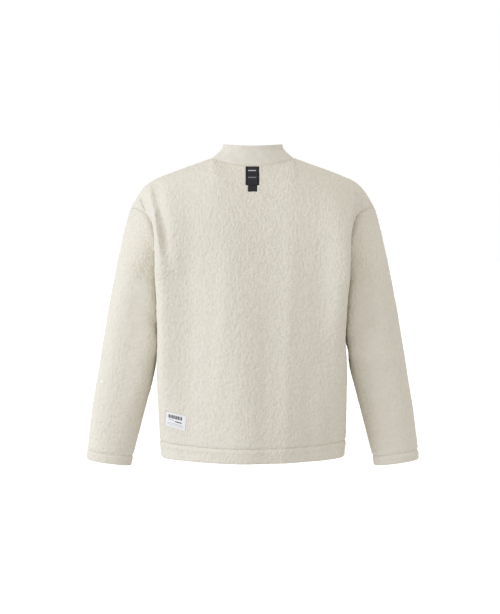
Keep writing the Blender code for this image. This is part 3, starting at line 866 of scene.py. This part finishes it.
def fleece_material():
    """Pile colour by height, painted darker deep in the pile as shade, patchy at two scales, over
    two fine bumps for the loops.
    """
    material = new_material("cream_fleece")
    patch = calc(material, "MULTIPLY", noise(material, 38.0, detail=3.0), 0.35)
    fine = calc(material, "MULTIPLY", noise(material, 520.0, roughness=0.6), 0.45)
    shade = calc(material, "ADD", attribute(material, "nap"), patch)
    shade = calc(material, "ADD", shade, fine)
    shade = calc(material, "MULTIPLY", shade, 0.55)
    # Low in the pile the ramp gives painted shade; high in it, the lighter tip colour.
    colour = ramp(material, shade, (0.12, FLEECE_SHADED_DEEP), (0.45, FLEECE_MID), (0.85, FLEECE_TIP))
    colour = mixed(material, attribute(material, "inside"), colour, KNIT_BACK)
    loops = noise(material, 900.0, detail=1.5, roughness=0.55)
    grain = noise(material, 430.0, detail=1.0, stretch=(1.0, 1.0, 0.85))
    normal = bumped(material, grain, 0.0012, Normal=bumped(material, loops, 0.0007))
    return finish(material, colour, normal, 0.95, sheen=0.18, sheen_roughness=0.6)


def collar_material():
    """Fine plain knit: even colour, with a fine vertical grain."""
    material = new_material("fine_knit")
    patch = noise(material, 60.0)
    colour = ramp(material, patch, (0.3, (0.675, 0.635, 0.565)), (0.7, (0.735, 0.7, 0.63)))
    grain = noise(material, 900.0, detail=1.0, stretch=(1.0, 1.0, 0.35))
    return finish(material, colour, bumped(material, grain, 0.00025), 0.85, sheen=0.15)


BAR_TACKS = ((0.16, 0.77, 0.745, 0.8), (0.17, 0.79, 0.375, 0.43))  # left, right, bottom, top
TACK_COLOURS = ((0.52, 0.52, 0.53), (0.2, 0.2, 0.205))


def black_material(name, tacks):
    """Black woven tape, lighter where the weft crosses over.

    With bar tacks in light thread its side edges are darker too.
    """
    material = new_material(name)
    weave = noise(material, 1500.0, detail=1.0, stretch=(1.0, 1.0, 0.4))
    colour = ramp(material, weave, (0.35, (0.014, 0.013, 0.016)), (0.7, (0.038, 0.036, 0.041)))
    if tacks:
        middle = within(material, attribute(material, "across"), 0.12, 0.88)
        colour = mixed(material, middle, (0.006, 0.006, 0.007), colour)
    for tack, thread in zip(tacks, TACK_COLOURS, strict=False):
        colour = mixed(material, bars(material, tack), colour, thread)
    return finish(material, colour, bumped(material, weave, 0.0002), 0.8)


PRINT_ROW = (0.1, 0.82, 0.62, 0.86)
PRINT_BAR = (0.46, 0.8, 0.405, 0.475)
PRINT_LINES = ((0.12, 0.4, 0.48, 0.52), (0.08, 0.9, 0.25, 0.28), (0.08, 0.9, 0.14, 0.17))
STROKE_WAVES = (83.0, 137.0)  # two waves across the label, whose sum is cut into strokes
STROKE_CUT = -0.75


def label_material():
    """White satin with a plain print: a row of uneven upright strokes over a few fine lines."""
    material = new_material("white_satin_label")
    weave = noise(material, 1400.0, detail=1.0, stretch=(1.0, 1.0, 2.5))
    colour = ramp(material, weave, (0.35, (0.76, 0.76, 0.77)), (0.7, (0.84, 0.84, 0.85)))
    across = attribute(material, "across")
    turns = (calc(material, "MULTIPLY", across, wave) for wave in STROKE_WAVES)
    slow, quick = (calc(material, "SINE", turn) for turn in turns)
    strokes = calc(material, "GREATER_THAN", calc(material, "ADD", slow, quick), STROKE_CUT)
    row = calc(material, "MULTIPLY", bars(material, PRINT_ROW), strokes)
    dark = calc(material, "MAXIMUM", row, bars(material, PRINT_BAR))
    colour = mixed(material, bars(material, *PRINT_LINES), colour, (0.38, 0.38, 0.39))
    colour = mixed(material, dark, colour, (0.06, 0.06, 0.062))
    return finish(material, colour, bumped(material, weave, 0.0001), 0.55, sheen=0.1)


FLEECE = fleece_material()

# %% [markdown]
# ## Cutting and sewing the fleece
#
# Each piece gets its pile, its seam dips and lips, and a rounded turn at a free edge.

# %% Fleece pieces
INSIDE = np.array([0.0, 0.0, -0.35])
SEAM_DIP = 0.0016
# How high the cloth swells beside the seam at each edge, in metres. A free edge is turned.
PANEL_SWELLS = {"bottom": 0.0003, "top": 0.0004, "left": 0.0008, "right": 0.0008}
SWELLS = {
    "back": PANEL_SWELLS,
    "front": PANEL_SWELLS,
    "hem": {"top": 0.001},
    "sleeve": {"bottom": 0.0002, "top": 0.0003},
    "cuff": {"bottom": 0.0009},
}
FREE_EDGE = {"hem": "bottom", "cuff": "top"}
EDGE_ROUND = 0.003
EDGE_THIN = 0.0013

pieces = [
    cloth("back_panel", "body", panel_points(BACK), False, INSIDE),
    cloth("front_panel", "body", panel_points(FRONT), False, INSIDE),
    cloth("hem_band", "body", hem_points(), True, INSIDE),
]
for side, word in ((1, "left"), (-1, "right")):
    for stem, first, last, count in (
        ("sleeve", 0.0, CUFF_SEAM, SLEEVE_ROWS),
        ("cuff", CUFF_SEAM, CUFF_SEAM + 1, CUFF_ROWS),
    ):
        rings = sleeve_rows(side, first, last, count)
        middle = rings.mean(axis=1, keepdims=True)
        pieces.append(cloth(f"{stem}_{word}", f"sleeve_{word}", rings, True, middle))


# %% Collar surface
COLLAR_ROWS = 44


def collar_points():
    """Rows of the collar from the neck seam up to its rim, all round, from the right side."""
    quarter = shares(NECK_COLUMNS)
    turn = quarter * math.pi / 2
    faces = []
    for face in (BACK, FRONT):
        drop = COLLAR_TOP_SIDE - COLLAR_TOP_CENTRE[face]
        x = COLLAR_TOP_HALF_WIDTH * np.sin(turn)
        y = face * COLLAR_TOP_DEPTH[face] * np.cos(turn)
        rim = np.stack([x, y, COLLAR_TOP_SIDE - drop * np.cos(turn) ** 2], axis=1)
        half = np.stack([neckline(face, quarter), rim])
        faces.append(whole_rows(half, half))
    base, rim = all_round(*faces)
    rows = []
    for share in shares(COLLAR_ROWS):
        come_in = 1 - (1 - share) ** COLLAR_FLARE
        rows.append(base + (rim - base) * (come_in, come_in, share))
    return np.array(rows)


pieces.append(cloth("collar", "collar", collar_points(), True, np.array([0.0, -0.02, 0.0])))
share_seams(pieces)

# %% [markdown]
# ## Where the trims press the pile
#
# Under a sewn trim the pile is pressed flat, and around it the curls crowd up. So the places of
# the trims are set before the fleece is made, and the fleece is lowered inside their outlines.

# %% Trims: where they lie on the back
def corners(middle, half_width, bottom, top):
    """A trim's corners on the back, as x and z: at the left and right, below and above."""
    left, right = middle + half_width, middle - half_width
    return np.array([[(left, bottom), (right, bottom)], [(left, top), (right, top)]])


TRIMS = {
    "hanger_tape": corners(0.0005, 0.0102, -0.074, -0.024),
    "neck_patch": corners(0.0007, 0.0146, -0.06, -0.0188),
    "hem_label": np.array(  # a little askew, as it was sewn
        [[(0.1953, -0.5955), (0.1509, -0.607)], [(0.1931, -0.5647), (0.1482, -0.573)]]
    ),
}
PRESS_REACH = 0.0016
PRESSED = -0.0016
CROWD_PLACE = 0.0032  # the pile crowds up beside a trim
CROWD_REACH = 0.0018
CROWD = 0.0009


def trim_size(name):
    """A trim's width and length, in metres."""
    (bottom_left, _), (top_left, top_right) = TRIMS[name]
    sides = (top_right - top_left, top_left - bottom_left)
    return tuple(float(np.linalg.norm(side)) for side in sides)


def outside_trim(points, trim):
    """How far points of the back lie outside a trim's four edges, in metres."""
    place = points[..., [0, 2]]
    (bottom_left, bottom_right), (top_left, top_right) = trim
    ring = (bottom_left, top_left, top_right, bottom_right)
    outside = np.full(points.shape[:2], -1.0)
    for start, end in zip(ring, ring[1:] + ring[:1], strict=True):
        along = unit(end - start)
        away = (place - start) @ np.array([along[1], -along[0]])
        outside = np.maximum(outside, away)
    return np.where(points[..., 1] > 0, outside, 1.0)


def pressed(points):
    """1 where a trim presses the pile flat on the back, and how much the pile crowds beside it."""
    press = np.zeros(points.shape[:2])
    crowd = np.zeros(points.shape[:2])
    for trim in TRIMS.values():
        outside = outside_trim(points, trim)
        press = np.maximum(press, np.clip(1 - outside / PRESS_REACH, 0, 1))
        crowd = np.maximum(crowd, bump(outside - CROWD_PLACE, CROWD_REACH))
    return press, crowd * (1 - press)


# %% Making the fleece pieces


def fleece_piece(piece):
    """The pile over the surface, seams pressed in, swellings beside them, free edges turned."""
    stem = piece["name"].split("_")[0]
    away = from_edges(piece)
    normals = seam_normals(piece, away)
    height, curl = pile(piece["points"])
    height = height * (SLEEVE_CALM if piece["family"] != "body" else 1.0)
    calm, dip, swell, turn = 1.0, 0.0, 0.0, 0.0
    for edge, distance in away.items():
        if edge == FREE_EDGE.get(stem):
            edge_in = np.clip(1 - distance / EDGE_ROUND, 0, 1)
            turn = EDGE_THIN * (1 - np.sqrt(1 - edge_in**2))
            continue
        at_seam = bump(distance, SEAM_REACH)
        calm = calm * (1 - at_seam)
        dip = np.maximum(dip, SEAM_DIP * at_seam)
        swell = swell + SWELLS[stem][edge] * bump(distance - LIP_PLACE, LIP_REACH)
    shape = swell - dip
    nap = height * calm
    if piece["name"] == "back_panel":
        press, crowd = pressed(piece["points"])
        nap = nap * (1 - press) + PRESSED * press + CROWD * crowd
    below = shape + turn - FLEECE_WALL
    # The curl heights are stored as nap, from which the fleece's colour paints shade deep between
    # the curls.
    return shell(piece, normals, shape - turn + nap, below, FLEECE, {"nap": curl})


sewn = {piece["name"]: fleece_piece(piece) for piece in pieces if piece["name"] != "collar"}

# %% [markdown]
# ## The collar's cloth
#
# A firm, smooth knit that stands up by itself. Two rows of stitching hold its rim, so the outer
# side has two fine lines there, and the rim is a half round.

# %% The collar
COLLAR_LINES = (0.0062, 0.0108)
LINE_DEPTH = 0.0005
LINE_REACH = 0.0009
RIPPLE = 0.0004
RIPPLE_SIZE = 0.018


def collar_piece(piece):
    """The knit over the collar's surface, its two lines of stitching and its round rim."""
    away = from_edges(piece)
    normals = seam_normals(piece, away)
    at_seam = bump(away["bottom"], SEAM_REACH)
    shape = RIPPLE * waves(piece["points"], RIPPLE_SIZE, RIPPLE_SALT) * (1 - at_seam)
    shape -= SEAM_DIP * at_seam
    rim_in = np.clip(1 - away["top"] / (COLLAR_WALL / 2), 0, 1)
    turn = COLLAR_WALL / 2 * (1 - np.sqrt(1 - rim_in**2))
    for line in COLLAR_LINES:
        turn += LINE_DEPTH * bump(away["top"] - line, LINE_REACH)
    below = shape + turn - COLLAR_WALL
    return shell(piece, normals, shape - turn, below, collar_material(), {})


sewn["collar"] = collar_piece(pieces[-1])

# %% [markdown]
# ## Tape, patch and label
#
# They lie on the back panel, so each is a grid whose points are found on the panel's own grid and
# moved out along its normals.

# %% Trims


def between(values, row, column):
    """Values of a grid at places between its rows and columns, kept inside the last ones."""
    row = np.clip(row, 0, values.shape[0] - 1.001)
    column = np.clip(column, 0, values.shape[1] - 1.001)
    i, j = row.astype(int), column.astype(int)
    t, u = (row - i)[..., None], (column - j)[..., None]
    below = values[i, j] * (1 - u) + values[i, j + 1] * u
    above = values[i + 1, j] * (1 - u) + values[i + 1, j + 1] * u
    return below * (1 - t) + above * t


SEARCH_ROUNDS = 400  # small steps over the panel's grid, until every point has settled


def on_panel(x, z):
    """Points and normals of the back panel at given places across and up."""
    panel = pieces[0]
    points = panel["points"]
    across_step = np.abs(np.diff(points[..., 0], axis=1)).max()
    up_step = np.abs(np.diff(points[..., 2], axis=0)).max()
    row = np.full(x.shape, points.shape[0] / 2)
    column = np.full(x.shape, points.shape[1] / 2)
    for _ in range(SEARCH_ROUNDS):
        here = between(points, row, column)
        column = column + (x - here[..., 0]) / across_step
        row = row + (z - here[..., 2]) / up_step
    return between(points, row, column), unit(between(panel["normals"], row, column))


TRIM_CLOTH = {  # under and upper side over the panel, and the step from point to point
    "hanger_tape": (-0.0013, -0.0006, 0.001),
    "neck_patch": (-0.0004, 0.0005, 0.0006),
    "hem_label": (-0.0012, -0.0004, 0.0008),
}
TACK_HEIGHT = 0.0004


def sewn_on(name, material, tacks):
    """A thin closed piece over a trim's place on the panel, between two heights above it."""
    low, high, step = TRIM_CLOTH[name]
    columns, rows = (2 * round(size / step / 2) for size in trim_size(name))
    across, up = np.meshgrid(shares(columns), shares(rows))
    t, u = across[..., None], up[..., None]
    lower, upper = (left * (1 - t) + right * t for left, right in TRIMS[name])
    place = lower * (1 - u) + upper * u
    points, normals = on_panel(place[..., 0], place[..., 1])
    above, below = np.full(across.shape, high), np.full(across.shape, low)
    for left, right, bottom, top in tacks:
        above += TACK_HEIGHT * ((across > left) & (across < right) & (up > bottom) & (up < top))
    piece = cloth(name, name, points, False, np.zeros(3))
    return shell(piece, normals, above, below, material, {"across": across, "up": up})


for name, material, slot, tacks in (
    ("hanger_tape", black_material("black_tape", ()), "black_tape", ()),
    ("neck_patch", black_material("black_patch", BAR_TACKS), "black_tape", BAR_TACKS),
    ("hem_label", label_material(), "white_label", ()),
):
    sewn[name] = sewn_on(name, material, tacks)

# %% [markdown]
# ## Light, floor and camera
#
# Curls show only in light that grazes them. One broad, cool light stands far to the side, a weak
# one fills from the other side, and the rest is soft light from all round, a bit stronger above.

# %% Light, floor and camera
FLOOR_LEVEL = -1.45
FLOOR_SIZE = 30.0  # from the middle to each side
FLOOR_COLOUR = (0.9, 0.9, 0.9)
FLOOR_GLOW = 0.55
SKY = 0.781
SKY_COLOUR = (1.0, 0.985, 0.955)
SKY_SLOPE = (0.04, 0.0, 0.13)  # how the soft light grows with its direction
WHITE = (1.0, 1.0, 1.0)
LIGHT_AIM = (0.0, 0.0, -0.35)
LIGHTS = (  # name, place, sides in metres, power in watts, colour
    ("key", (3.45, 1.55, 0.0), (2.2, 2.6), 66.0, (0.9, 0.97, 1.1)),
    ("fill", (-2.4, 3.2, 0.3), (2.0, 2.4), 7.0, WHITE),
)
CAMERA = (0.0062, 4.5, -0.0577)
AIM = (0.0062, 0.0, -0.3367)
VIEW_HEIGHT = 614 / 440  # metres that the picture's height shows at the aim's distance


def stage_floor():
    material = new_material("pale_floor")
    inputs = {"Base Color": FLOOR_COLOUR, "Emission Color": WHITE, "Emission Strength": FLOOR_GLOW}
    fill(material, "Principled BSDF", inputs)
    ends = (-FLOOR_SIZE, FLOOR_SIZE)
    vertices = [(x, y, FLOOR_LEVEL) for y in ends for x in ends]
    floor = add_mesh("floor", vertices, [(0, 1, 3, 2)], material)
    floor.visible_diffuse = False


def stage_world():
    """Soft light from all round, brighter from above; the camera itself sees plain white."""
    world = bpy.data.worlds.new("studio")
    world.use_nodes = True
    bpy.context.scene.world = world
    way = node(world, "TexCoord", {})["Generated"]
    slope = node(world, "VectorMath", {0: way, 1: SKY_SLOPE}, operation="DOT_PRODUCT")["Value"]
    strength = calc(world, "ADD", slope, SKY)
    soft = fill(world, "Background", {"Color": SKY_COLOUR, "Strength": strength})[0]
    white = node(world, "Background", {"Color": WHITE})[0]
    seen = node(world, "LightPath", {})["Is Camera Ray"]
    mix = node(world, "MixShader", {0: seen, 1: soft, 2: white})[0]
    fill(world, "World Output", {"Surface": mix})


def place_at(item, place, target):
    """Puts a light or a camera, whose own -Z looks forward, at a place, towards a point."""
    item.location = place
    way = Vector(target) - item.location
    item.rotation_euler = way.to_track_quat("-Z", "Y").to_euler()


def area_light(name, place, sides, power, colour):
    data = bpy.data.lights.new(name, "AREA")
    data.shape = "RECTANGLE"
    data.size, data.size_y = sides
    data.energy = power
    data.color = colour
    place_at(add_object(name, data), place, LIGHT_AIM)


def stage_camera():
    data = bpy.data.cameras.new("camera")
    data.sensor_width = 36.0
    data.lens = data.sensor_width * math.dist(CAMERA, AIM) / VIEW_HEIGHT
    bpy.context.scene.camera = add_object("camera", data)
    place_at(bpy.context.scene.camera, CAMERA, AIM)


stage_floor()
stage_world()
for light in LIGHTS:
    area_light(*light)
stage_camera()
bpy.context.scene.view_settings.view_transform = "Standard"

# %% [markdown]
# ## The cut, laid flat
#
# For every piece the flat size of its cloth is worked out: a panel is as wide as its longest row,
# a tube as its widest ring, and both are as long as their longest column.

# %% Sheets: the flat cut of each piece


for piece in pieces:
    points = piece["points"]
    if piece["closed"]:
        points = np.concatenate([points, points[:, :1]], axis=1)
    width, length = (float(walked(points, axis).max()) for axis in (1, 0))
